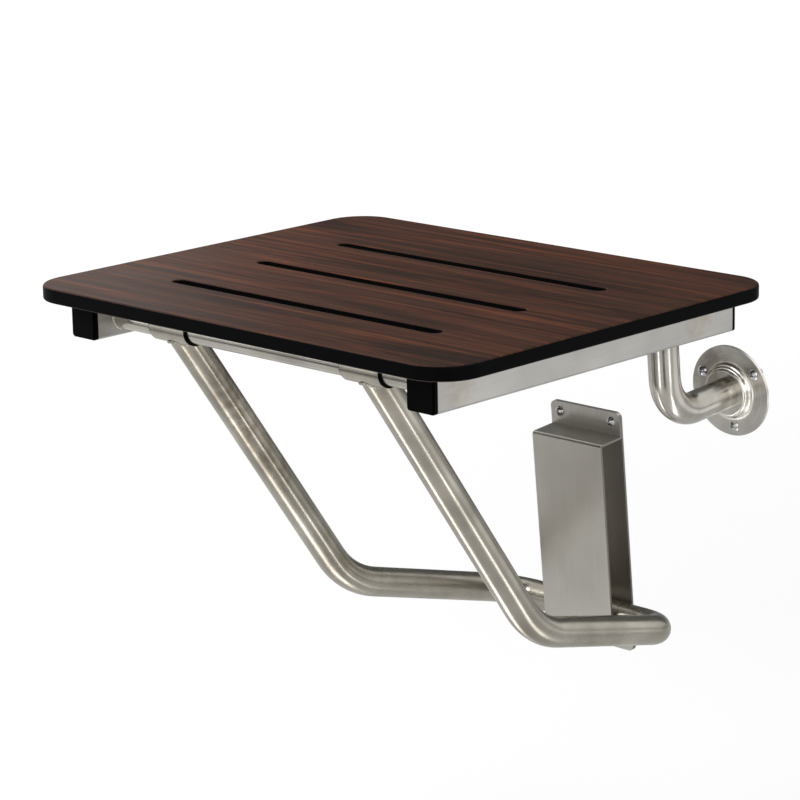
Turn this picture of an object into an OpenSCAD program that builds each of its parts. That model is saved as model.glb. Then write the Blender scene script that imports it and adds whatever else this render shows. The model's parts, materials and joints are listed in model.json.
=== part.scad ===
/* [Seat panel] */
// Width of the seat panel, side to side
seat_w = 457; // [450:1:520]
// Depth of the seat panel, front to back
seat_d = 380; // [370:1:400]
// Thickness of the seat panel
seat_t = 12; // [10:0.5:14]
// Thickness of the wood grain laminate on each face
laminate_t = 0.8; // [0.6:0.1:1.2]
// Radius of the panel's corners seen from above
corner_r = 35; // [20:1:60]
// Radius worked round the panel's edges
edge_r = 2; // [1.5:0.5:4]
// Rise of the front edge when the seat is down, in degrees
seat_pitch = 5.1; // [3:0.1:6]

/* [Drain slots] */
// Length of each drain slot
slot_l = 290; // [200:1:300]
// Width of each drain slot
slot_w = 13; // [8:0.5:16]
// Distance from one slot to the next
slot_pitch = 93; // [60:1:95]
// Distance of the middle slot in front of the panel's middle
slot_shift = 12; // [0:1:20]
// Chamfer at the mouths of the slots
slot_ease = 0.6; // [0.3:0.1:1]

/* [Side rails] */
// Width of each rail tube
rail_w = 27.5; // [20:0.5:30]
// Height of each rail tube
rail_h = 30; // [28:1:40]
// Wall of the rail tube
rail_wall = 1.5; // [1:0.1:2]
// Outer corner radius of the rail tube
rail_corner_r = 2.5; // [2:0.1:4]
// Distance of a rail's outer face inside the panel's side edge
rail_side_setback = 31; // [28:0.5:34]
// Setback of the metal rail's front end behind the panel's front edge
rail_front_setback = 25; // [15:1:40]
// Setback of the metal rail's rear end before the panel's rear edge
rail_rear_setback = 16.5; // [10:0.5:30]

/* [End caps] */
// Thickness of the cap's flange
cap_flange_t = 4.5; // [3:0.1:6]
// Length of the cap's plug inside the rail
cap_plug_l = 16; // [10:1:25]
// Wall of the cap's plug
cap_wall = 2; // [1.5:0.1:3]

/* [Cross tubes and sleeves] */
// Outer diameter of the two cross tubes
cross_d = 22.2; // [20:0.1:23]
// Wall of the cross tubes
cross_wall = 1.5; // [1:0.1:2]
// Outer diameter of the sleeves that turn on the cross tubes
sleeve_d = 26.8; // [26:0.1:28]
// Wall of the sleeves
sleeve_wall = 1.3; // [1:0.1:1.4]
// Length of a sleeve
sleeve_l = 40; // [36:1:44]
// Thickness of the bushes' flanges
bush_flange_t = 0.8; // [0.8:0.1:2]
// Length of a bush, with its flange
bush_l = 14; // [10:1:18]
// Distance of the front cross tube behind the panel's front edge
front_pivot_setback = 51.5; // [48:0.5:60]
// Distance of the rear cross tube before the panel's rear edge
rear_pivot_setback = 55.5; // [53:0.5:62]

/* [Leg frame] */
// Outer diameter of the leg and hinge arm tubes
tube_d = 25.4; // [24:0.1:25.6]
// Wall of the leg and hinge arm tubes
tube_wall = 1.5; // [1:0.1:2]
// Distance between the two upper legs
leg_spread = 210; // [196:1:222]
// Distance of the leg bend from the wall
knee_reach = 200; // [195:1:210]
// Height of the leg bend above the middle of the wall guide
knee_z = -6; // [-12:1:4]
// Bend radius of the leg tubes at the knee, to the middle of the tube
knee_r = 85; // [60:1:90]
// Distance between the rear corners of the leg frame
bar_spread = 177; // [170:1:190]
// Bend radius at the rear corners, to the middle of the tube
corner_bend_r = 32; // [28:1:36]

/* [Hinge arms] */
// Distance of the rear cross tube from the wall
hinge_reach = 83.5; // [81:0.5:90]
// Height of the rear cross tube above the middle of the wall guide
hinge_z = 236; // [230:0.5:240]
// Height of the flanges' middle above the middle of the wall guide
flange_z = 148; // [146:1:152]
// Bend radius of the hinge arms, to the middle of the tube
arm_bend_r = 34; // [30:1:38]

/* [Wall flanges] */
// Diameter of a wall flange
flange_d = 76; // [72:1:84]
// Thickness of the flange at its rim
flange_t = 2.5; // [2:0.1:4]
// Diameter of the raised hub
hub_d = 42; // [38:1:44]
// Height of the hub above the wall
hub_h = 9.5; // [8:0.5:14]
// Diameter of the screw circle
flange_circle_d = 60; // [57:0.5:62]

/* [Wall guide] */
// Width of the wall guide
guide_w = 76; // [70:1:90]
// Height of the wall guide, with its lips
guide_h = 217; // [210:1:230]
// Depth of the wall guide from the wall
guide_depth = 30; // [29:0.1:32]
// Thickness of the guide's sheet and of its back plate
guide_t = 2; // [1.5:0.1:2.2]
// Height of each screwed lip
lip_h = 21; // [19:1:26]
// Distance between the two screws of a lip
lip_screw_pitch = 57; // [45:1:60]
// Corner radius of the lips
lip_corner_r = 5; // [2:0.5:8]

/* [Screws] */
// Thread diameter of the wall screws
wall_screw_d = 4.8; // [4:0.1:5]
// Head diameter of the wall screws
wall_head_d = 9.2; // [8:0.1:9.5]
// Length of the wall screws behind the wall face
wall_screw_grip = 8; // [6:1:20]
// Diameter of the panel screws
panel_screw_d = 5; // [4:0.1:6]
// Outer diameter of the threaded inserts in the panel
insert_d = 8; // [7.5:0.1:9]
// Depth of the threaded inserts
insert_l = 8; // [6:0.5:8.5]
// Diameter of the access holes under the rails
access_d = 11; // [10.5:0.5:13]

/* [Hidden] */
$fn = 72;

LEFT = -1;
RIGHT = 1;

// Length by which a cut runs past the face it opens
overrun = 1;
// Gap between pieces that slide into one another and stay put
fit_gap = 0.05;
// Radial gap between a bush and the tube it turns on
running_gap = 0.06;
// Gap between pieces of different bodies that pass each other
body_gap = 0.3;
// Length by which a straight stretch of tube runs into the bend beside it
bend_lap = 0.1;
// Extra radius of a bend, so that the straight stretches end inside it
bend_swell = 0.02;

tube_r = tube_d / 2;
cross_r = cross_d / 2;
sleeve_r = sleeve_d / 2;
sleeve_bore_r = sleeve_r - sleeve_wall;
bush_flange_share = 0.7;
bush_flange_r = sleeve_bore_r + sleeve_wall * bush_flange_share;

// Places in the seat's own frame: the rear cross tube's axis is its origin
pivot_drop = seat_t + sleeve_r + body_gap;
pivot_pitch = seat_d - front_pivot_setback - rear_pivot_setback;
seat_top_z = pivot_drop;
seat_bottom_z = seat_top_z - seat_t;
seat_rear_y = rear_pivot_setback;
seat_front_y = seat_rear_y - seat_d;
seat_mid_y = (seat_front_y + seat_rear_y) / 2;
rail_front_y = seat_front_y + rail_front_setback;
rail_rear_y = seat_rear_y - rail_rear_setback;
rail_l = rail_rear_y - rail_front_y;
rail_spread = seat_w - 2 * rail_side_setback;
rail_mid_x = (rail_spread - rail_w) / 2;
rail_bottom_z = seat_bottom_z - rail_h;
rail_inner_gap = rail_spread - 2 * rail_w;
cap_rim_share = 0.3;
cap_rim_t = cap_flange_t * cap_rim_share;
screw_first_share = 0.14;
screw_step_share = 0.36;
screw_rows = 3;
panel_screw_y = [
    for (i = [0 : screw_rows - 1]) rail_front_y + rail_l * (screw_first_share + screw_step_share * i)
];
panel_head_height_share = 0.6;
panel_head_radius_share = 0.95;
panel_head_h = panel_screw_d * panel_head_height_share;
panel_head_r = panel_screw_d * panel_head_radius_share;
insert_bore_r = panel_screw_d / 2 + fit_gap;

// Places in the wall's frame: the middle of the guide's four screws is its origin
pivot_origin = [0, -hinge_reach, hinge_z];
front_pivot_y = -hinge_reach - pivot_pitch * cos(seat_pitch);
front_pivot_z = hinge_z + pivot_pitch * sin(seat_pitch);
leg_x = leg_spread / 2;
arm_x = rail_inner_gap / 2 - body_gap - tube_r;
// The rear sleeves' outer bushes end just inside the rails
rear_sleeve_x = rail_inner_gap / 2 - body_gap - bush_flange_t - sleeve_l / 2;
guide_top_z = guide_h / 2 - lip_h;
bar_overhang = 1.2;
bar_end_x = guide_w / 2 + bar_overhang;
bar_y = -guide_depth / 2;
bar_z = -guide_top_z + guide_t + tube_r + body_gap;
lip_screw_share = 0.43;
lip_screw_z = guide_h / 2 - lip_h * lip_screw_share;
guide_bend_share = 1.5;
guide_bend_r = guide_t * guide_bend_share;
flange_screw_angles = [35, 155, 275];
hub_round_share = 0.4;
hub_round_r = (hub_h - flange_t) * hub_round_share;
flange_fillet_r = hub_h - flange_t - hub_round_r;
arm_socket_share = 0.7;
arm_socket = hub_h * arm_socket_share;
wall_head_share = 0.32;
wall_head_h = wall_head_d * wall_head_share;
shank_swell = 0.2;
screw_shank_r = wall_screw_d / 2 + shank_swell;
screw_clearance = 0.2;
screw_hole_r = screw_shank_r + screw_clearance;
recess_length_share = 0.5;
recess_width_share = 0.13;
recess_depth_share = 0.62;
head_dome_share = 0.62;

// Unit vector along v
function unit(v) = v / norm(v);

// Angles that turn the Z axis onto direction v
function aim(v) = [0, acos(v[2] / norm(v)), atan2(v[1], v[0])];

// Run of a bent rod from the local origin along Z, through the bends after point i. dir and
// x_axis are the local Z and X axes, start is the length taken by the bend before.
module rod_run(points, bends, r, i, dir, x_axis, start) {
    reach = norm(points[i + 1] - points[i]) - start;
    lead = start == 0 ? 0 : bend_lap;
    if (i == len(points) - 2) {
        translate([0, 0, -lead])
            cylinder(h = lead + reach, r = r);
    } else {
        next_dir = unit(points[i + 2] - points[i + 1]);
        inward = unit(next_dir - dir * (dir * next_dir));
        turn = acos(dir * next_dir);
        cut = bends[i] * tan(turn / 2);
        translate([0, 0, -lead])
            cylinder(h = lead + reach - cut + bend_lap, r = r);
        translate([0, 0, reach - cut])
            rotate([0, 0, atan2(inward * cross(dir, x_axis), inward * x_axis)])
                translate([bends[i], 0, 0]) {
                    rotate([90, 0, 180])
                        rotate_extrude(angle = turn)
                            translate([bends[i], 0])
                                circle(r = r + bend_swell);
                    rotate([0, turn, 0])
                        translate([-bends[i], 0, 0])
                            rod_run(
                                points, bends, r, i + 1, next_dir,
                                inward * cos(turn) - dir * sin(turn), cut
                            );
                }
    }
}

// Rod of radius r along points, with each corner between them bent to its radius in bends
module bent_rod(points, bends, r) {
    dir = unit(points[1] - points[0]);
    tilt = aim(dir);
    x_axis = [cos(tilt[1]) * cos(tilt[2]), cos(tilt[1]) * sin(tilt[2]), -sin(tilt[1])];
    translate(points[0])
        rotate(tilt)
            rod_run(points, bends, r, 0, dir, x_axis, 0);
}

// Points with their two end points moved outwards by d, so that a bore runs past the ends
function extended(points, d) =
    let (last = len(points) - 1)
    [
        for (i = [0 : last])
            i == 0 ? points[0] - unit(points[1] - points[0]) * d
            : i == last ? points[last] + unit(points[last] - points[last - 1]) * d
            : points[i]
    ];

// Bent tube along points
module bent_tube(points, bends, r, wall) {
    difference() {
        bent_rod(points, bends, r);
        bent_rod(extended(points, overrun), bends, r - wall);
    }
}

// Cylinder along X, centred on x = 0
module x_cylinder(l, r) {
    rotate([0, 90, 0])
        cylinder(h = l, r = r, center = true);
}

// Straight tube along X, centred on x = 0
module x_tube(l, r, bore_r) {
    difference() {
        x_cylinder(l, r);
        x_cylinder(l + 2 * overrun, bore_r);
    }
}

// Rectangle w by h with rounded corners, centred
module round_rectangle(w, h, r) {
    square([w - 2 * r, h], center = true);
    square([w, h - 2 * r], center = true);
    for (x = [-1, 1], y = [-1, 1])
        translate([x * (w / 2 - r), y * (h / 2 - r)])
            circle(r = r);
}

// Places its children in the seat's frame, tilted to its rest position
module on_seat() {
    translate(pivot_origin)
        rotate([-seat_pitch, 0, 0])
            children();
}

// Half outline of the panel's rounded edge, for a corner of radius corner_r
module panel_edge_profile() {
    square([corner_r - edge_r, seat_t]);
    translate([0, edge_r])
        square([corner_r, seat_t - 2 * edge_r]);
    for (y = [edge_r, seat_t - edge_r])
        translate([corner_r - edge_r, y])
            circle(r = edge_r);
}

// Panel blank with rounded corners and edges, its top at z = 0 and its middle on the axis
module panel_blank() {
    corner_x = seat_w / 2 - corner_r;
    corner_y = seat_d / 2 - corner_r;
    for (x = [-1, 1], y = [-1, 1])
        translate([x * corner_x, y * corner_y, -seat_t])
            rotate_extrude()
                intersection() {
                    panel_edge_profile();
                    square([corner_r, seat_t]);
                }
    translate([0, 0, -seat_t / 2])
        rotate([90, 0, 90])
            linear_extrude(2 * corner_x, center = true)
                round_rectangle(seat_d, seat_t, edge_r);
    translate([0, 0, -seat_t / 2])
        rotate([90, 0, 0])
            linear_extrude(2 * corner_y, center = true)
                round_rectangle(seat_w, seat_t, edge_r);
}

// Cutter for one slot, with a chamfer at both faces of the panel
module slot_cutter() {
    half = slot_w / 2;
    reach = slot_l / 2 - half;
    wide = half + slot_ease + overrun;
    outline = [
        [-wide, overrun], [-half, -slot_ease], [-half, slot_ease - seat_t],
        [-wide, -seat_t - overrun], [wide, -seat_t - overrun],
        [half, slot_ease - seat_t], [half, -slot_ease], [wide, overrun]
    ];
    rotate([90, 0, 90])
        linear_extrude(2 * reach, center = true)
            polygon(outline);
    for (x = [-reach, reach])
        translate([x, 0, 0])
            rotate_extrude()
                polygon([
                    [0, overrun], [0, -seat_t - overrun], [wide, -seat_t - overrun],
                    [half, slot_ease - seat_t], [half, -slot_ease], [wide, overrun]
                ]);
}

// One layer of the panel between two depths below its top face
module panel_layer(top, bottom) {
    translate([0, seat_mid_y, seat_top_z])
        difference() {
            intersection() {
                panel_blank();
                translate([-seat_w / 2, -seat_d / 2, -bottom])
                    cube([seat_w, seat_d, bottom - top]);
            }
            for (i = [-1 : 1])
                translate([0, i * slot_pitch - slot_shift, 0])
                    slot_cutter();
        }
}

// Repeats its children at each panel screw of both rails
module at_panel_screws() {
    for (side = [LEFT, RIGHT], y = panel_screw_y)
        translate([side * rail_mid_x, y, 0])
            children();
}

module seat_core() {
    color("#151517")
        on_seat()
            difference() {
                panel_layer(laminate_t, seat_t - laminate_t);
                at_panel_screws()
                    translate([0, 0, seat_bottom_z - overrun])
                        cylinder(h = insert_l + overrun + fit_gap, r = insert_d / 2 + fit_gap);
            }
}

module seat_top_laminate() {
    color("#5a2f22")
        on_seat()
            panel_layer(0, laminate_t);
}

module seat_bottom_laminate() {
    color("#5a2f22")
        on_seat()
            difference() {
                panel_layer(seat_t - laminate_t, seat_t);
                at_panel_screws()
                    translate([0, 0, seat_bottom_z - overrun])
                        cylinder(h = laminate_t + 2 * overrun, r = insert_d / 2 + fit_gap);
            }
}

// Rectangular rail tube along Y with its screw holes, centred on x = 0
module side_rail(side) {
    color("#c9c7c1")
        on_seat()
            difference() {
                translate([side * rail_mid_x, rail_rear_y, seat_bottom_z - rail_h / 2])
                    rotate([90, 0, 0])
                        linear_extrude(rail_l)
                            difference() {
                                round_rectangle(rail_w, rail_h, rail_corner_r);
                                round_rectangle(
                                    rail_w - 2 * rail_wall, rail_h - 2 * rail_wall,
                                    rail_corner_r - rail_wall
                                );
                            }
                for (y = panel_screw_y)
                    translate([side * rail_mid_x, y, rail_bottom_z - overrun]) {
                        cylinder(h = rail_h + 2 * overrun, r = panel_screw_d / 2 + fit_gap);
                        cylinder(h = rail_wall + 2 * overrun, r = access_d / 2);
                    }
            }
}

// Plastic cap at y = 0 that closes a rail whose metal lies towards +Y
module rail_cap() {
    plug_w = rail_w - 2 * (rail_wall + fit_gap);
    plug_h = rail_h - 2 * (rail_wall + fit_gap);
    plug_r = rail_corner_r - rail_wall;
    rotate([90, 0, 0]) {
        linear_extrude(cap_flange_t - cap_rim_t)
            round_rectangle(rail_w, rail_h, rail_corner_r);
        translate([0, 0, cap_flange_t - cap_rim_t])
            linear_extrude(cap_rim_t)
                round_rectangle(rail_w - 2 * cap_rim_t, rail_h - 2 * cap_rim_t, cap_rim_t);
        translate([0, 0, -cap_plug_l])
            linear_extrude(cap_plug_l)
                difference() {
                    round_rectangle(plug_w, plug_h, plug_r);
                    square([plug_w - 2 * cap_wall, plug_h - 2 * cap_wall], center = true);
                }
    }
}

module end_cap(side, front) {
    color("#161616")
        on_seat()
            translate([side * rail_mid_x, front ? rail_front_y : rail_rear_y, seat_bottom_z - rail_h / 2])
                rotate([0, 0, front ? 0 : 180])
                    rail_cap();
}

module cross_tube(y) {
    color("#bdbbb5")
        on_seat()
            translate([0, y, 0])
                x_tube(rail_inner_gap, cross_r, cross_r - cross_wall);
}

module panel_screws() {
    color("#d8d8d6")
        on_seat()
            at_panel_screws()
                translate([0, 0, seat_bottom_z - rail_wall]) {
                    cylinder(h = rail_wall + insert_l, r = panel_screw_d / 2);
                    translate([0, 0, -panel_head_h])
                        cylinder(h = panel_head_h, r = panel_head_r);
                }
}

module panel_inserts() {
    color("#b9994f")
        on_seat()
            at_panel_screws()
                translate([0, 0, seat_bottom_z])
                    difference() {
                        cylinder(h = insert_l, r = insert_d / 2);
                        translate([0, 0, -overrun])
                            cylinder(h = insert_l + 2 * overrun, r = insert_bore_r);
                    }
}

// Half of the leg frame: leg, knee, lower arm and rear corner up to the guide
module leg_tube(side) {
    points = [
        [side * leg_x, front_pivot_y, front_pivot_z],
        [side * leg_x, -knee_reach, knee_z],
        [side * bar_spread / 2, bar_y, bar_z],
        [side * (bar_end_x + body_gap), bar_y, bar_z]
    ];
    color("#b5b3ac")
        difference() {
            bent_tube(points, [knee_r, corner_bend_r], tube_r, tube_wall);
            translate([side * leg_x, front_pivot_y, front_pivot_z])
                x_cylinder(sleeve_l + tube_d, sleeve_r);
        }
}

// Sleeve that turns on a cross tube
module sleeve() {
    x_tube(sleeve_l, sleeve_r, sleeve_bore_r);
}

// Two flanged plastic bushes, one in each end of a sleeve
module bush_pair() {
    for (end = [-1, 1])
        translate([end * (sleeve_l / 2 + bush_flange_t - bush_l / 2), 0, 0])
            difference() {
                union() {
                    x_cylinder(bush_l, sleeve_bore_r - fit_gap);
                    translate([end * (bush_l - bush_flange_t) / 2, 0, 0])
                        x_cylinder(bush_flange_t, bush_flange_r);
                }
                x_cylinder(bush_l + 2 * overrun, cross_r + running_gap);
            }
}

module front_sleeve(side) {
    color("#b5b3ac")
        translate([side * leg_x, front_pivot_y, front_pivot_z])
            sleeve();
}

module front_bushes(side) {
    color("#1d1d1e")
        translate([side * leg_x, front_pivot_y, front_pivot_z])
            bush_pair();
}

module guide_bar() {
    color("#b5b3ac")
        translate([0, bar_y, bar_z])
            x_tube(2 * bar_end_x, tube_r, tube_r - tube_wall);
}

// Bent arm from the wall flange up to the rear cross tube
module hinge_arm(side) {
    points = [
        [side * arm_x, fit_gap - hub_h + arm_socket, flange_z],
        [side * arm_x, -hinge_reach, flange_z],
        [side * arm_x, -hinge_reach, hinge_z]
    ];
    color("#b5b3ac")
        difference() {
            bent_tube(points, [arm_bend_r], tube_r, tube_wall);
            translate([side * arm_x, -hinge_reach, hinge_z])
                x_cylinder(sleeve_l + tube_d, sleeve_r);
        }
}

module rear_sleeve(side) {
    color("#b5b3ac")
        translate([side * rear_sleeve_x, -hinge_reach, hinge_z])
            sleeve();
}

module rear_bushes(side) {
    color("#1d1d1e")
        translate([side * rear_sleeve_x, -hinge_reach, hinge_z])
            bush_pair();
}

// Outline of half a wall flange: rim, disc, hollow fillet and rounded hub
module flange_profile() {
    hub_r = hub_d / 2;
    square([flange_d / 2, flange_t]);
    square([hub_r - hub_round_r, hub_h]);
    square([hub_r, hub_h - hub_round_r]);
    translate([hub_r - hub_round_r, hub_h - hub_round_r])
        circle(r = hub_round_r);
    difference() {
        square([hub_r + flange_fillet_r, flange_t + flange_fillet_r]);
        translate([hub_r + flange_fillet_r, flange_t + flange_fillet_r])
            circle(r = flange_fillet_r);
    }
}

// Repeats its children at the three screws of a flange, facing the wall
module at_flange_screws(side) {
    for (angle = flange_screw_angles)
        translate([
            side * (arm_x + flange_circle_d / 2 * cos(angle)), 0,
            flange_z + flange_circle_d / 2 * sin(angle)
        ])
            rotate([90, 0, 0])
                children();
}

module wall_flange(side) {
    color("#aaa79f")
        difference() {
            translate([side * arm_x, 0, flange_z])
                rotate([90, 0, 0])
                    difference() {
                        rotate_extrude()
                            flange_profile();
                        translate([0, 0, hub_h - arm_socket])
                            cylinder(h = arm_socket + overrun, r = tube_r + fit_gap);
                    }
            at_flange_screws(side)
                translate([0, 0, -overrun])
                    cylinder(h = flange_t + 2 * overrun, r = screw_hole_r);
        }
}

// Pan head screw along Z with a cross recess: its plain shank ends and its thread, left smooth,
// starts at z = 0, and its head seats at z = seat
module wall_screw(seat) {
    recess_l = wall_head_d * recess_length_share;
    recess_w = wall_head_d * recess_width_share;
    recess_depth = wall_head_h * recess_depth_share;
    dome_r = wall_head_d * head_dome_share;
    translate([0, 0, -wall_screw_grip])
        cylinder(h = wall_screw_grip, r = wall_screw_d / 2);
    cylinder(h = seat, r = screw_shank_r);
    translate([0, 0, seat])
        difference() {
            intersection() {
                cylinder(h = wall_head_h, r = wall_head_d / 2);
                translate([0, 0, wall_head_h - dome_r])
                    sphere(r = dome_r);
            }
            for (turn = [0, 90])
                rotate([0, 0, turn])
                    translate([-recess_l / 2, -recess_w / 2, wall_head_h - recess_depth])
                        cube([recess_l, recess_w, recess_depth + overrun]);
        }
}

module flange_screws(side) {
    color("#dededc")
        at_flange_screws(side)
            wall_screw(flange_t);
}

// Repeats its children at the guide's four screws, facing the wall
module at_guide_screws() {
    for (x = [-1, 1], z = [-1, 1])
        translate([x * lip_screw_pitch / 2, 0, z * lip_screw_z])
            rotate([90, 0, 0])
                children();
}

// Side view of the guide's bent sheet: x is the distance from the wall, y is the height
module guide_outline() {
    inner_top = guide_top_z - guide_t;
    difference() {
        union() {
            translate([guide_t, -guide_h / 2])
                square([guide_t, guide_h]);
            translate([guide_t, guide_bend_r - guide_top_z])
                square([guide_depth - guide_t, 2 * (guide_top_z - guide_bend_r)]);
            translate([guide_t, -guide_top_z])
                square([guide_depth - guide_t - guide_bend_r, 2 * guide_top_z]);
            for (z = [-1, 1])
                translate([guide_depth - guide_bend_r, z * (guide_top_z - guide_bend_r)])
                    circle(r = guide_bend_r);
        }
        translate([guide_t - overrun, -inner_top])
            square([guide_depth - 2 * guide_t + overrun, 2 * inner_top]);
    }
}

// Plate outline in the wall's plane with rounded corners, as a solid from y = 0 to the room
module rounded_slab(w, h, depth, r) {
    rotate([90, 0, 0])
        linear_extrude(depth)
            round_rectangle(w, h, r);
}

module guide_channel() {
    color("#b3b1aa")
        difference() {
            intersection() {
                translate([-guide_w / 2, 0, 0])
                    rotate([90, 0, 90])
                        linear_extrude(guide_w)
                            mirror([1, 0])
                                guide_outline();
                rounded_slab(guide_w, guide_h, guide_depth, lip_corner_r);
            }
            at_guide_screws()
                translate([0, 0, -overrun])
                    cylinder(h = 2 * guide_t + 2 * overrun, r = screw_hole_r);
        }
}

module guide_back_plate() {
    color("#a5a39c")
        difference() {
            rounded_slab(guide_w, guide_h, guide_t, lip_corner_r);
            at_guide_screws()
                translate([0, 0, -overrun])
                    cylinder(h = guide_t + 2 * overrun, r = screw_hole_r);
        }
}

module guide_screws() {
    color("#dededc")
        at_guide_screws()
            wall_screw(2 * guide_t);
}

seat_core();
seat_top_laminate();
seat_bottom_laminate();
side_rail(LEFT);  // side_rail_left
side_rail(RIGHT);  // side_rail_right
end_cap(LEFT, true);  // front_cap_left
end_cap(RIGHT, true);  // front_cap_right
end_cap(LEFT, false);  // rear_cap_left
end_cap(RIGHT, false);  // rear_cap_right
cross_tube(-pivot_pitch);  // front_cross_tube
cross_tube(0);  // rear_cross_tube
panel_screws();
panel_inserts();
leg_tube(LEFT);  // leg_tube_left
leg_tube(RIGHT);  // leg_tube_right
front_sleeve(LEFT);  // front_sleeve_left
front_sleeve(RIGHT);  // front_sleeve_right
front_bushes(LEFT);  // front_bushes_left
front_bushes(RIGHT);  // front_bushes_right
guide_bar();
hinge_arm(LEFT);  // hinge_arm_left
hinge_arm(RIGHT);  // hinge_arm_right
rear_sleeve(LEFT);  // rear_sleeve_left
rear_sleeve(RIGHT);  // rear_sleeve_right
rear_bushes(LEFT);  // rear_bushes_left
rear_bushes(RIGHT);  // rear_bushes_right
wall_flange(LEFT);  // wall_flange_left
wall_flange(RIGHT);  // wall_flange_right
flange_screws(LEFT);  // flange_screws_left
flange_screws(RIGHT);  // flange_screws_right
guide_channel();
guide_back_plate();
guide_screws();
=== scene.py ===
import json
import math

import bpy
from mathutils import Matrix, Vector


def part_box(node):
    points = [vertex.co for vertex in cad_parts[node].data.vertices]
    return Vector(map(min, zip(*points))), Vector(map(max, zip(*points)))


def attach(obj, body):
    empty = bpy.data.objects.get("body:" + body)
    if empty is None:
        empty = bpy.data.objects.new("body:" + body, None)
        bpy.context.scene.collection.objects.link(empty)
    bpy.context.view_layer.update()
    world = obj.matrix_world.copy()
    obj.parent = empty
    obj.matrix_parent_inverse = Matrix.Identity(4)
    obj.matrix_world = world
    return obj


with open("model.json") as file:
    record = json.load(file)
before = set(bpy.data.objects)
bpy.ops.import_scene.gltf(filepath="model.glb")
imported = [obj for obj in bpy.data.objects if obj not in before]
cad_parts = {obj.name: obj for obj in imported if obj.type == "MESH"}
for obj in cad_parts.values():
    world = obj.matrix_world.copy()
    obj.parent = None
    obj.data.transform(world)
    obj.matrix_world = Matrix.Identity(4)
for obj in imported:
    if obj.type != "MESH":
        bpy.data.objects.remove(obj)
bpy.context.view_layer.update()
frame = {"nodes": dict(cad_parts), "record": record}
NODES = frame["nodes"]
JOINTS = {joint["name"]: joint for joint in frame["record"]["behaviour"]["joints"]}
MM = 0.001
X_AXIS = Vector((1, 0, 0))
SIDES = (("left", -1), ("right", 1))


def middle(node):
    """Middle of a CAD node's box."""
    low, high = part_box(node)
    return (Vector(low) + Vector(high)) / 2


# Places and sizes that the CAD model shares with this scene, in metres
TUBE_R = 12.7 * MM
SLEEVE_R = 13.4 * MM
CROSS_R = 11.1 * MM
KNEE_Y, KNEE_Z = -0.2, -0.004
REAR_PIVOT = Vector(JOINTS["seat_fold"]["pos_m"])
FRONT_PIVOT = Vector(JOINTS["leg_swing"]["pos_m"])
LEG_X = middle("front_sleeve_right").x
CROSS_END_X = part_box("front_cross_tube")[1][0]
RAIL_OUTER_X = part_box("side_rail_right")[1][0]
HUB = middle("wall_flange_right")
REAR_BEND_START_Y, REAR_BEND_END_Y = -0.105, -0.070

# Colours of the wood laminate and the panel's core
WOOD_DEEP = (0.017, 0.0070, 0.0044)
WOOD_PLAIN = (0.048, 0.0192, 0.0108)
WOOD_RED = (0.112, 0.035, 0.0140)
WOOD_DARK = (0.016, 0.008, 0.006)
WOOD_PORE = (0.012, 0.007, 0.005)
CORE_DARK = (0.0014, 0.0015, 0.0018)
CORE_PALE = (0.0034, 0.0036, 0.0040)

# Dark and light threads of the wood, which multiply its colour
WOOD_THREADS = ((0.34, (0.60, 0.58, 0.58)), (0.52, (1.0, 1.0, 1.0)), (0.68, (1.35, 1.25, 1.2)))

# Colours that heat marks and stains multiply steel by, and the painted shade on the flanges
RAIL_HEAT = (0.72, 0.60, 0.44)
WELD_HEAT = (0.80, 0.70, 0.55)
TUBE_STAIN = (0.50, 0.44, 0.37)
FLANGE_PAINTED_SHADE = (0.42, 0.38, 0.33)

# Heat marks and stains on the steel, and painted shade on the flanges: middle, radius by axis, and strength
RAIL_MARKS = [
    ((side * RAIL_OUTER_X, pivot.y - 0.004, pivot.z - 0.002), (0.006, 0.020, 0.014), 0.42)
    for pivot in (FRONT_PIVOT, REAR_PIVOT)
    for side in (-1, 1)
]
LEG_WELD_MARKS = [
    ((side * LEG_X, FRONT_PIVOT.y + 0.005, FRONT_PIVOT.z - 0.018), (0.02, 0.02, 0.02), 0.3)
    for side in (-1, 1)
]
LEFT_LEG_STAINS = [
    ((-0.089, -0.300, 0.165), (0.016, 0.080, 0.130), 0.72),
    ((-0.089, -0.215, 0.020), (0.014, 0.040, 0.060), 0.40),
    ((-0.100, -0.110, -0.030), (0.020, 0.060, 0.020), 0.22),
]
# Painted shade and painted reflection of the tube: each flange's front is darker at the upper left of its hub
FLANGE_PAINTED_SHADE_SPOTS = [
    ((side * HUB.x - 0.014, HUB.y, HUB.z + 0.014), (0.022, 0.030, 0.024), 0.7)
    for side in (-1, 1)
]

# How much drawn tube smears its shine
TUBE_SMEAR = 0.68
ARM_SMEAR = 0.6

# Nearly all values of a noise lie between these two
NOISE_LOW, NOISE_HIGH = 0.3, 0.7


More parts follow.
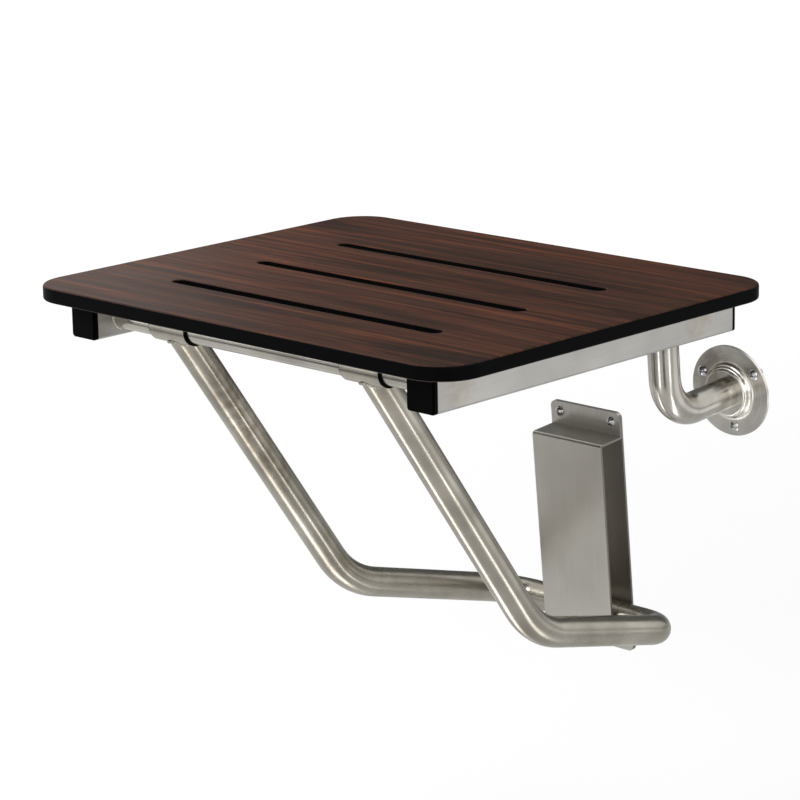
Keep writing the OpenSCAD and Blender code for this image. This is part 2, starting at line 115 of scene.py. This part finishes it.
class Paint:
    """One procedural material, built node by node on a Principled shader."""

    def __init__(self, name, **values):
        self.material = bpy.data.materials.new(name)
        self.material.use_nodes = True
        self.nodes = self.material.node_tree.nodes
        self.links = self.material.node_tree.links
        self.shader = next(n for n in self.nodes if n.type == "BSDF_PRINCIPLED")
        for key, value in values.items():
            socket = self.shader.inputs[key.replace("_", " ")]
            socket.default_value = (*value, 1.0) if isinstance(value, tuple) else value
        self.place = self.add("ShaderNodeTexCoord").outputs["Object"]

    def add(self, kind, inputs=None, **settings):
        """A new node with its settings, its inputs linked or set."""
        node = self.nodes.new(kind)
        for key, value in settings.items():
            setattr(node, key, value)
        for key, value in (inputs or {}).items():
            if isinstance(value, bpy.types.NodeSocket):
                self.links.new(value, node.inputs[key])
            else:
                node.inputs[key].default_value = value
        return node

    def math(self, operation, a, b=0.0, clamp=False):
        node = self.add("ShaderNodeMath", {0: a, 1: b}, operation=operation, use_clamp=clamp)
        return node.outputs[0]

    def vector(self, operation, a, b=(0.0, 0.0, 0.0)):
        node = self.add("ShaderNodeVectorMath", {0: a, 1: b}, operation=operation)
        return node.outputs["Value" if operation == "LENGTH" else "Vector"]

    def split(self, source):
        """Outputs X, Y and Z of a vector."""
        return self.add("ShaderNodeSeparateXYZ", {0: source}).outputs

    def facing(self, axis):
        """How far the surface faces along one of the object's axes, -1 to 1."""
        return self.split(self.add("ShaderNodeTexCoord").outputs["Normal"])[axis]

    def stretched(self, scale):
        """The object's coordinates, scaled by axis."""
        return self.add("ShaderNodeMapping", {"Vector": self.place, "Scale": scale}).outputs[0]

    def noise(self, where, scale=1.0, detail=4.0, rough=0.55, bend=0.0):
        inputs = {"Vector": where, "Scale": scale, "Detail": detail, "Roughness": rough, "Distortion": bend}
        return self.add("ShaderNodeTexNoise", inputs).outputs["Fac"]

    def ramp(self, factor, *stops):
        """Colour ramp through (position, colour) stops."""
        node = self.add("ShaderNodeValToRGB", {0: factor})
        points = node.color_ramp.elements
        while len(points) < len(stops):
            points.new(0.5)
        for point, (position, colour) in zip(points, stops):
            point.position = position
            point.color = (*colour, 1.0)
        return node.outputs["Color"]

    def range(self, factor, low, high, start=0.0, end=1.0):
        """factor from start to end, mapped to low to high."""
        inputs = {"Value": factor, "From Min": start, "From Max": end, "To Min": low, "To Max": high}
        return self.add("ShaderNodeMapRange", inputs).outputs[0]

    def spread(self, noise, low, high):
        """A noise's usual values, mapped to low to high."""
        return self.range(noise, low, high, NOISE_LOW, NOISE_HIGH)

    def mix(self, factor, a, b, blend="MIX"):
        node = self.add("ShaderNodeMix", data_type="RGBA", blend_type=blend)
        for socket, value in ((node.inputs[0], factor), (node.inputs[6], a), (node.inputs[7], b)):
            if isinstance(value, bpy.types.NodeSocket):
                self.links.new(value, socket)
            else:
                socket.default_value = value if isinstance(value, float) else (*value, 1.0)
        return node.outputs[2]

    def set(self, key, source):
        self.links.new(source, self.shader.inputs[key])

    def colour(self):
        """What is linked to the base colour so far."""
        return self.shader.inputs["Base Color"].links[0].from_socket

    def bump(self, height, depth):
        """Bump of that depth in metres."""
        self.set("Normal", self.add("ShaderNodeBump", {"Height": height, "Distance": depth}).outputs[0])

    def spot(self, centre, radius, soft=0.35):
        """1 at centre, falling to 0 at radius, which has a value for each axis."""
        scale = tuple(1 / r for r in radius)
        shift = tuple(-c * s for c, s in zip(centre, scale))
        inputs = {"Vector": self.place, "Location": shift, "Scale": scale}
        where = self.add("ShaderNodeMapping", inputs).outputs[0]
        ragged = self.noise(self.place, 90.0, 3.0)
        edge = self.math("ADD", self.vector("LENGTH", where), self.range(ragged, -soft, soft))
        return self.range(edge, 1.0, 0.0, 1.0 - soft, 1.0)


def grey(level, warm=0.0):
    """A grey colour, a little warm."""
    return (level * (1 + warm / 2), level, level * (1 - warm))


# Materials
def wood_paint():
    paint = Paint("wood_laminate", Specular_IOR_Level=0.09)
    broad = paint.noise(paint.stretched((2.2, 26.0, 26.0)), detail=3.0, rough=0.5, bend=0.6)
    figure = paint.noise(paint.stretched((4.5, 120.0, 120.0)), detail=7.0, rough=0.70, bend=0.7)
    threads = paint.noise(paint.stretched((7.0, 330.0, 330.0)), detail=4.0, rough=0.6)
    pores = paint.noise(paint.stretched((26.0, 1100.0, 1100.0)), detail=2.0, rough=0.5)
    base = paint.ramp(broad, (0.34, WOOD_DEEP), (0.64, WOOD_PLAIN))
    red = paint.range(figure, 0.0, 0.8, 0.50, 0.66)
    colour = paint.mix(red, base, WOOD_RED)
    dark = paint.range(figure, 0.5, 0.0, 0.30, 0.44)
    colour = paint.mix(dark, colour, WOOD_DARK)
    colour = paint.mix(1.0, colour, paint.ramp(threads, *WOOD_THREADS), "MULTIPLY")
    pits = paint.range(pores, 0.0, 0.5, 0.60, 0.72)
    paint.set("Base Color", paint.mix(pits, colour, WOOD_PORE))
    paint.set("Roughness", paint.spread(threads, 0.38, 0.50))
    relief = paint.math("SUBTRACT", paint.math("MULTIPLY", threads, 0.6), paint.math("MULTIPLY", pits, 0.8))
    paint.bump(relief, 0.05 * MM)
    return paint.material


def core_paint():
    paint = Paint("panel_core", Specular_IOR_Level=0.02)
    layers = paint.noise(paint.stretched((6.0, 6.0, 900.0)), detail=3.0)
    grain = paint.noise(paint.place, 1400.0, 3.0)
    paint.set("Base Color", paint.mix(layers, CORE_DARK, CORE_PALE))
    paint.set("Roughness", paint.spread(grain, 0.30, 0.46))
    paint.bump(paint.math("ADD", grain, layers), 0.03 * MM)
    return paint.material


def plastic_paint(name, level, rough):
    """Black plastic with a fine moulded grain."""
    paint = Paint(name, Specular_IOR_Level=0.02)
    grain = paint.noise(paint.place, 2400.0, 3.0)
    cloud = paint.noise(paint.place, 60.0, 3.0)
    paint.set("Base Color", paint.mix(cloud, grey(level * 0.8), grey(level * 1.25)))
    paint.set("Roughness", paint.spread(grain, rough - 0.07, rough + 0.07))
    paint.bump(grain, 0.05 * MM)
    return paint.material


def cap_paint():
    return plastic_paint("cap_plastic", 0.0022, 0.36)


def bush_paint():
    return plastic_paint("bush_plastic", 0.003, 0.38)


def steel_paint(name, level, grain, rough, warm, streak, patches):
    """Satin metal, brushed along the axis where the grain's scale is small."""
    paint = Paint(name, Metallic=1.0)
    lines = paint.noise(paint.stretched(grain), detail=1.0, rough=0.5)
    cloud = paint.noise(paint.place, 22.0, 2.0, 0.5)
    shine = paint.math("ADD", paint.spread(lines, -streak, streak), paint.spread(cloud, -patches, patches))
    factor = paint.math("ADD", shine, 0.5, clamp=True)
    paint.set("Base Color", paint.mix(factor, grey(level * 0.5, warm * 1.5), grey(level * 1.5, warm)))
    paint.set("Roughness", paint.math("ADD", paint.spread(lines, *rough), paint.spread(cloud, 0.04, -0.04)))
    return paint


def drawn(paint, amount):
    """Smears the shine along a tube whose middle line lies across X, as on drawn tube."""
    normal = paint.add("ShaderNodeNewGeometry").outputs["Normal"]
    along = paint.vector("CROSS_PRODUCT", normal, (1.0, 0.0, 0.0))
    paint.set("Tangent", paint.vector("NORMALIZE", along))
    paint.shader.inputs["Anisotropic"].default_value = amount


def tint(paint, base, spots, colour):
    """Faint marks of that colour, broken up by noise, in spots of (centre, radius, amount)."""
    torn = paint.range(paint.noise(paint.place, 90.0, 3.0, 0.6), 0.25, 1.0, 0.40, 0.62)
    for centre, radius, amount in spots:
        factor = paint.math("MULTIPLY", paint.math("MULTIPLY", paint.spot(centre, radius), torn), amount)
        base = paint.mix(factor, base, colour, "MULTIPLY")
    return base


def rail_paint():
    """Brushed rail with a faint heat mark where each cross tube is welded on."""
    paint = steel_paint(
        "rail_steel", level=0.45, grain=(420.0, 9.0, 420.0), rough=(0.30, 0.42),
        warm=0.05, streak=0.06, patches=0.08,
    )
    paint.set("Base Color", tint(paint, paint.colour(), RAIL_MARKS, RAIL_HEAT))
    return paint.material


def tube_paint():
    """Drawn tube, whose smear ends where the rear bends turn to X, with heat marks and stains."""
    paint = steel_paint(
        "tube_steel", level=0.37, grain=(150.0, 50.0, 36.0), rough=(0.25, 0.28),
        warm=0.13, streak=0.05, patches=0.22,
    )
    depth = paint.split(paint.place)["Y"]
    smear = paint.range(depth, TUBE_SMEAR, 0.0, REAR_BEND_START_Y, REAR_BEND_END_Y)
    drawn(paint, TUBE_SMEAR)
    paint.set("Anisotropic", smear)
    heated = tint(paint, paint.colour(), LEG_WELD_MARKS, WELD_HEAT)
    paint.set("Base Color", tint(paint, heated, LEFT_LEG_STAINS, TUBE_STAIN))
    return paint.material


def sleeve_paint():
    """Tube steel without the smeared shine, for what lies along X."""
    return steel_paint(
        "sleeve_steel", level=0.37, grain=(20.0, 150.0, 150.0), rough=(0.24, 0.29),
        warm=0.13, streak=0.05, patches=0.20,
    ).material


def arm_paint():
    paint = steel_paint(
        "arm_steel", level=0.43, grain=(150.0, 150.0, 60.0), rough=(0.20, 0.24),
        warm=0.09, streak=0.06, patches=0.22,
    )
    drawn(paint, ARM_SMEAR)
    return paint.material


def cross_paint():
    return steel_paint(
        "cross_steel", level=0.43, grain=(9.0, 260.0, 260.0), rough=(0.16, 0.22),
        warm=0.10, streak=0.06, patches=0.16,
    ).material


def flange_paint():
    """Steel turned on a lathe: fine rings round each flange's middle, and on its front a painted shade with a
    painted reflection of the tube at the upper left of its hub.
    """
    paint = Paint("flange_steel", Metallic=1.0)
    place = paint.split(paint.place)
    x = paint.math("SUBTRACT", paint.math("ABSOLUTE", place["X"]), HUB.x)
    z = paint.math("SUBTRACT", place["Z"], HUB.z)
    radius = paint.math("SQRT", paint.math("ADD", paint.math("MULTIPLY", x, x), paint.math("MULTIPLY", z, z)))
    outward = {"X": paint.math("MULTIPLY", radius, 2200.0), "Y": place["Y"]}
    rings = paint.noise(paint.add("ShaderNodeCombineXYZ", outward).outputs[0], detail=4.0, rough=0.6)
    cloud = paint.noise(paint.place, 28.0, 2.0, 0.5)
    shine = paint.math("ADD", paint.spread(rings, 0.4, 0.6), paint.spread(cloud, -0.3, 0.3), clamp=True)
    colour = paint.mix(shine, grey(0.46, 0.10), grey(0.95, 0.07))
    # Painted shade and painted reflection, multiplied into the colour of the front faces only
    for centre, reach, amount in FLANGE_PAINTED_SHADE_SPOTS:
        front = paint.range(paint.facing("Y"), amount, 0.0, 0.2, 0.6)
        shade = paint.math("MULTIPLY", paint.spot(centre, reach, 0.6), front)
        colour = paint.mix(shade, colour, FLANGE_PAINTED_SHADE, "MULTIPLY")
    paint.set("Base Color", colour)
    paint.set("Roughness", paint.spread(rings, 0.20, 0.29))
    return paint.material


def guide_paint():
    """Brushed sheet whose sheared edges, which face along X, are painted darker as painted shade."""
    paint = steel_paint(
        "guide_steel", level=0.47, grain=(900.0, 900.0, 14.0), rough=(0.33, 0.37),
        warm=0.08, streak=0.04, patches=0.07,
    )
    # Painted shade: every face that looks along X gets a dark grey base colour
    edge = paint.math("GREATER_THAN", paint.math("ABSOLUTE", paint.facing("X")), 0.8)
    paint.set("Base Color", paint.mix(edge, paint.colour(), grey(0.20, 0.1)))
    return paint.material


def screw_paint():
    return steel_paint(
        "screw_steel", level=0.52, grain=(300.0, 300.0, 300.0), rough=(0.14, 0.2),
        warm=0.0, streak=0.05, patches=0.05,
    ).material


def insert_paint():
    """Brass of the threaded inserts."""
    return steel_paint(
        "insert_brass", level=0.5, grain=(300.0, 300.0, 300.0), rough=(0.2, 0.3),
        warm=0.5, streak=0.05, patches=0.05,
    ).material


SLOT_PAINTS = {
    "wood_laminate": wood_paint(),
    "panel_core": core_paint(),
    "rail_steel": rail_paint(),
    "tube_steel": tube_paint(),
    "flange_steel": flange_paint(),
    "guide_steel": guide_paint(),
    "screw_steel": screw_paint(),
    "insert_brass": insert_paint(),
    "cap_plastic": cap_paint(),
    "bush_plastic": bush_paint(),
}
for part in frame["record"]["subparts"]:
    for slot in NODES[part["node"]].material_slots:
        slot.material = SLOT_PAINTS[part["material_slot"]]

# Tubes whose grain or shine runs another way than their slot's
NODE_PAINTS = (
    (cross_paint(), ("front_cross_tube", "rear_cross_tube")),
    (arm_paint(), ("hinge_arm_left", "hinge_arm_right")),
    (
        sleeve_paint(),
        ("front_sleeve_left", "front_sleeve_right", "rear_sleeve_left", "rear_sleeve_right", "guide_bar"),
    ),
)
for material, names in NODE_PAINTS:
    for name in names:
        NODES[name].material_slots[0].material = material


# Weld beads: how many sides, how thick, how many points along, and how the arms' open beads lie
BEAD_SIDES = 10
LEG_BEAD_R = 1.5 * MM
ARM_BEAD_R = 1.4 * MM
CROSS_BEAD_R = 1.3 * MM
CROSS_BEAD_SINK = 0.3 * MM
LEG_BEAD_POINTS = 120
ARM_BEAD_POINTS = 66
CROSS_BEAD_POINTS = 100
ARM_BEAD_START = math.radians(50)
ARM_BEAD_SWEEP = math.radians(180)


def bead_size(i, count, closed):
    """Share of its radius that a bead has at its point i: rippled, and thin at open ends."""
    taper = 1.0 if closed else min(1.0, 6.0 * math.sin(math.pi * i / (count - 1)) + 0.05)
    return taper * (1.0 + 0.14 * math.sin(i * 1.57) + 0.06 * math.sin(i * 0.37 + 1.0))


def bead(name, body, path, outward, radius, closed=True):
    """Rippled weld bead along path, whose section leans to outward(point)."""
    count = len(path)
    vertices, faces = [], []
    for i, point in enumerate(path):
        before = path[i - 1] if closed or i else path[0]
        after = path[(i + 1) % count] if closed or i < count - 1 else path[-1]
        along = (after - before).normalized()
        out = outward(point)
        out = (out - along * out.dot(along)).normalized()
        up = along.cross(out)
        size = radius * bead_size(i, count, closed)
        for k in range(BEAD_SIDES):
            angle = 2 * math.pi * k / BEAD_SIDES
            vertices.append(point + (out * math.cos(angle) + up * math.sin(angle)) * size)
    for i in range(count if closed else count - 1):
        a, b = i * BEAD_SIDES, ((i + 1) % count) * BEAD_SIDES
        for k in range(BEAD_SIDES):
            j = (k + 1) % BEAD_SIDES
            faces.append((a + k, a + j, b + j, b + k))
    if not closed:
        faces.append(tuple(range(BEAD_SIDES))[::-1])
        faces.append(tuple(range((count - 1) * BEAD_SIDES, count * BEAD_SIDES)))
    mesh = bpy.data.meshes.new(name)
    mesh.from_pydata(vertices, [], faces)
    mesh.polygons.foreach_set("use_smooth", [True] * len(mesh.polygons))
    mesh.materials.append(SLOT_PAINTS["tube_steel"])
    piece = bpy.data.objects.new(name, mesh)
    bpy.context.scene.collection.objects.link(piece)
    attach(piece, body)


def saddle(centre, down, start, sweep, count):
    """Seam between a sleeve along X and a tube that leaves its middle along down."""
    across = down.cross(X_AXIS).normalized()
    points = []
    for i in range(count):
        angle = start + sweep * i / count
        x, side = TUBE_R * math.cos(angle), TUBE_R * math.sin(angle)
        depth = math.sqrt(SLEEVE_R ** 2 - side ** 2)
        points.append(centre + X_AXIS * x + across * side + down * depth)
    return points


def ring(centre, radius, count):
    """Points round the X axis through centre."""
    turns = (2 * math.pi * i / count for i in range(count))
    return [centre + Vector((0, math.cos(turn), math.sin(turn))) * radius for turn in turns]


def away_from(centre, axis):
    """Direction from the line through centre along axis."""
    def direction(point):
        reach = point - centre
        return (reach - axis * reach.dot(axis)).normalized()
    return direction


def leg_bead(label, side):
    """Bead all round a leg's top, on its sleeve."""
    top = Vector((side * LEG_X, FRONT_PIVOT.y, FRONT_PIVOT.z))
    down = (Vector((side * LEG_X, KNEE_Y, KNEE_Z)) - top).normalized()
    path = saddle(top, down, 0, 2 * math.pi, LEG_BEAD_POINTS)
    bead("weld_leg_" + label, "leg_frame", path, away_from(top, down), LEG_BEAD_R)


def arm_bead(label, side):
    """Bead round the arm's front and inner side; its wall side stays clear for the folded seat."""
    top = Vector((side * HUB.x, REAR_PIVOT.y, REAR_PIVOT.z))
    down = Vector((0, 0, -1))
    path = saddle(top, down, side * ARM_BEAD_START, ARM_BEAD_SWEEP, ARM_BEAD_POINTS)
    bead("weld_arm_" + label, "wall_mount", path, away_from(top, down), ARM_BEAD_R, closed=False)


def cross_bead(label, side):
    """Bead round one end of the front cross tube, on its rail."""
    centre = Vector((side * (CROSS_END_X - CROSS_BEAD_SINK), FRONT_PIVOT.y, FRONT_PIVOT.z))
    path = ring(centre, CROSS_R, CROSS_BEAD_POINTS)
    bead("weld_cross_" + label, "seat", path, away_from(centre, X_AXIS), CROSS_BEAD_R)


for label, side in SIDES:
    leg_bead(label, side)
    arm_bead(label, side)
    cross_bead(label, side)


# Stage
FLOOR_SIZE = 14.0
FLOOR_GREY = 0.42
FLOOR_SEEN, FLOOR_MIRRORED = 0.5, 0.2
FLOOR_GLOW_NEAR, FLOOR_GLOW_FAR = 1.50, 1.80
FLOOR_NEAR, FLOOR_FAR = 0.6, 2.4
FLOOR_Z = -0.32
PANEL_LIFT = 0.004
SEAT_MIDDLE = (0, -0.2, 0.1)


def plane(name, size, matrix, material):
    """Flat rectangle that belongs to the studio, not to the seat."""
    x, y = size[0] / 2, size[1] / 2
    mesh = bpy.data.meshes.new(name)
    mesh.from_pydata([(-x, -y, 0), (x, -y, 0), (x, y, 0), (-x, y, 0)], [], [(0, 1, 2, 3)])
    mesh.materials.append(material)
    piece = bpy.data.objects.new(name, mesh)
    piece.matrix_world = matrix
    bpy.context.scene.collection.objects.link(piece)
    return piece


def facing(place, target=SEAT_MIDDLE):
    """Matrix of something at place whose -Z looks at target."""
    place, target = Vector(place), Vector(target)
    turn = (target - place).to_track_quat("-Z", "Y").to_matrix().to_4x4()
    return Matrix.Translation(place) @ turn


def lying(x, y, turn):
    """Matrix of something that lies just over the floor, its long side turned from +Y by degrees."""
    place = Matrix.Translation((x, y, FLOOR_Z + PANEL_LIFT))
    return place @ Matrix.Rotation(math.radians(turn), 4, "Z")


def floor_paint():
    """Pale floor that keeps the seat's shadow and looks nearly white to camera, mirror and glass rays."""
    paint = Paint("floor", Base_Color=grey(FLOOR_GREY), Roughness=0.9, Specular_IOR_Level=0.1)
    rays = paint.add("ShaderNodeLightPath").outputs
    seen = paint.math("MULTIPLY", rays["Is Camera Ray"], FLOOR_SEEN)
    either = paint.math("MAXIMUM", rays["Is Glossy Ray"], rays["Is Transmission Ray"])
    lifted = paint.math("ADD", seen, paint.math("MULTIPLY", either, FLOOR_MIRRORED))
    away = paint.vector("LENGTH", paint.place)
    strength = paint.range(away, FLOOR_GLOW_NEAR, FLOOR_GLOW_FAR, FLOOR_NEAR, FLOOR_FAR)
    glow = paint.add("ShaderNodeEmission", {"Color": (1, 1, 1, 1), "Strength": strength})
    blend = paint.add(
        "ShaderNodeMixShader", {0: lifted, 1: paint.shader.outputs[0], 2: glow.outputs[0]}
    )
    output = next(n for n in paint.nodes if n.type == "OUTPUT_MATERIAL")
    paint.links.new(blend.outputs[0], output.inputs["Surface"])
    return paint.material


def reflected(name, size, matrix, strength):
    """Studio panel that only shows in reflections; a low strength makes it a dark screen."""
    paint = Paint(name, Base_Color=(0.03, 0.03, 0.03), Roughness=1.0, Specular_IOR_Level=0.0)
    paint.shader.inputs["Emission Color"].default_value = (1.0, 1.0, 1.0, 1.0)
    paint.shader.inputs["Emission Strength"].default_value = strength
    panel = plane(name, size, matrix, paint.material)
    panel.visible_camera = False
    panel.visible_shadow = False
    panel.visible_diffuse = False


plane("floor", (FLOOR_SIZE, FLOOR_SIZE), Matrix.Translation((0, 0, FLOOR_Z)), floor_paint())

# Name, size, place and strength of each studio panel
PANELS = (
    ("strip_legs_left", (0.10, 0.50), lying(-0.07, -0.45, -8), 4.4),
    ("strip_legs_right", (0.09, 0.66), lying(0.58, -0.16, 79), 4.2),
    ("pool_bar", (0.34, 0.34), lying(0.16, 0.20, 0), 0.62),
    ("panel_right", (1.0, 1.5), lying(1.35, 0.95, -58), 1.1),
    ("screen_back", (2.6, 2.7), facing((-0.78, 2.04, 1.05), (0.62, 0.42, 1.05)), 0.12),
    ("strip_cross", (1.1, 0.11), facing((-0.67, -1.08, 0.13), (0, -0.35, 0.26)), 1.7),
    ("dark_cross", (0.64, 0.42), lying(-0.93, -1.18, 0), 0.1),
    ("dark_back", (0.8, 1.9), lying(0.45, 2.3, 0), 0.1),
    ("screen_front", (2.6, 1.1), facing((-1.35, -1.6, 0.72), (0, -0.2, 0.2)), 0.2),
    ("strip_arm_left", (0.20, 1.6), lying(0.29, -1.87, 5), 4.0),
    ("strip_arm_right", (0.22, 1.4), lying(1.98, -0.29, -84), 4.0),
    ("dark_arm_left", (0.38, 1.5), lying(-0.75, -1.58, -31), 0.04),
    ("dark_arm_right", (0.44, 1.5), lying(1.27, -1.43, 40), 0.04),
    ("dark_far", (3.2, 1.6), lying(-2.3, -2.6, -43), 0.04),
    ("pool_guide", (0.30, 0.30), lying(-0.48, -0.50, 0), 0.74),
)
for panel in PANELS:
    reflected(*panel)


# Light
WORLD_LIGHT = 0.55
WORLD_SEEN = 1.0


def studio_world():
    """White world: plain white to camera, mirror and glass rays, and softer as a light."""
    world = bpy.data.worlds.new("studio")
    world.use_nodes = True
    tree = world.node_tree
    rays = tree.nodes.new("ShaderNodeLightPath").outputs
    level = tree.nodes.new("ShaderNodeMapRange")
    level.inputs["To Min"].default_value = WORLD_LIGHT
    level.inputs["To Max"].default_value = WORLD_SEEN
    seen = rays["Is Camera Ray"]
    for kind in ("Is Glossy Ray", "Is Transmission Ray"):
        either = tree.nodes.new("ShaderNodeMath")
        either.operation = "MAXIMUM"
        tree.links.new(seen, either.inputs[0])
        tree.links.new(rays[kind], either.inputs[1])
        seen = either.outputs[0]
    tree.links.new(seen, level.inputs["Value"])
    sky = next(n for n in tree.nodes if n.type == "BACKGROUND")
    sky.inputs["Color"].default_value = (1, 1, 1, 1)
    tree.links.new(level.outputs[0], sky.inputs["Strength"])
    return world


def area(name, place, size, power, target=SEAT_MIDDLE):
    """Square white lamp at place that shines at target."""
    lamp = bpy.data.lights.new(name, "AREA")
    lamp.energy = power
    lamp.size = size
    piece = bpy.data.objects.new(name, lamp)
    piece.matrix_world = facing(place, target)
    bpy.context.scene.collection.objects.link(piece)
    return piece


bpy.context.scene.world = studio_world()
area("key", (-1.3, -1.9, 1.9), 1.0, 26)
area("fill", (2.4, -0.9, 0.9), 1.2, 14)
area("top", (0.1, -0.4, 2.2), 1.2, 12)
area("left", (-0.95, -0.5, 0.75), 0.5, 9, target=(-0.2, -0.25, 0.2)).visible_glossy = False


# Camera, as fitted to the photograph, in metres but for its sensor and lens
EYE = (1.6575, -1.8737, 0.9363)
EYE_RIGHT = Vector((0.7224, 0.6869, -0.0798))
EYE_UP = Vector((-0.158, 0.2763, 0.948))
SENSOR_MM = 36
LENS_MM = 139.17
SHIFT_X, SHIFT_Y = -0.0053, -0.0011
CLIP_END = 60


def photo_camera():
    camera = bpy.data.cameras.new("camera")
    camera.sensor_width = SENSOR_MM
    camera.lens = LENS_MM
    camera.shift_x = SHIFT_X
    camera.shift_y = SHIFT_Y
    camera.clip_end = CLIP_END
    turn = Matrix((EYE_RIGHT, EYE_UP, EYE_RIGHT.cross(EYE_UP))).transposed().to_4x4()
    piece = bpy.data.objects.new("camera", camera)
    piece.matrix_world = Matrix.Translation(EYE) @ turn
    bpy.context.scene.collection.objects.link(piece)
    return piece


bpy.context.scene.camera = photo_camera()
bpy.context.scene.view_settings.view_transform = "Standard"
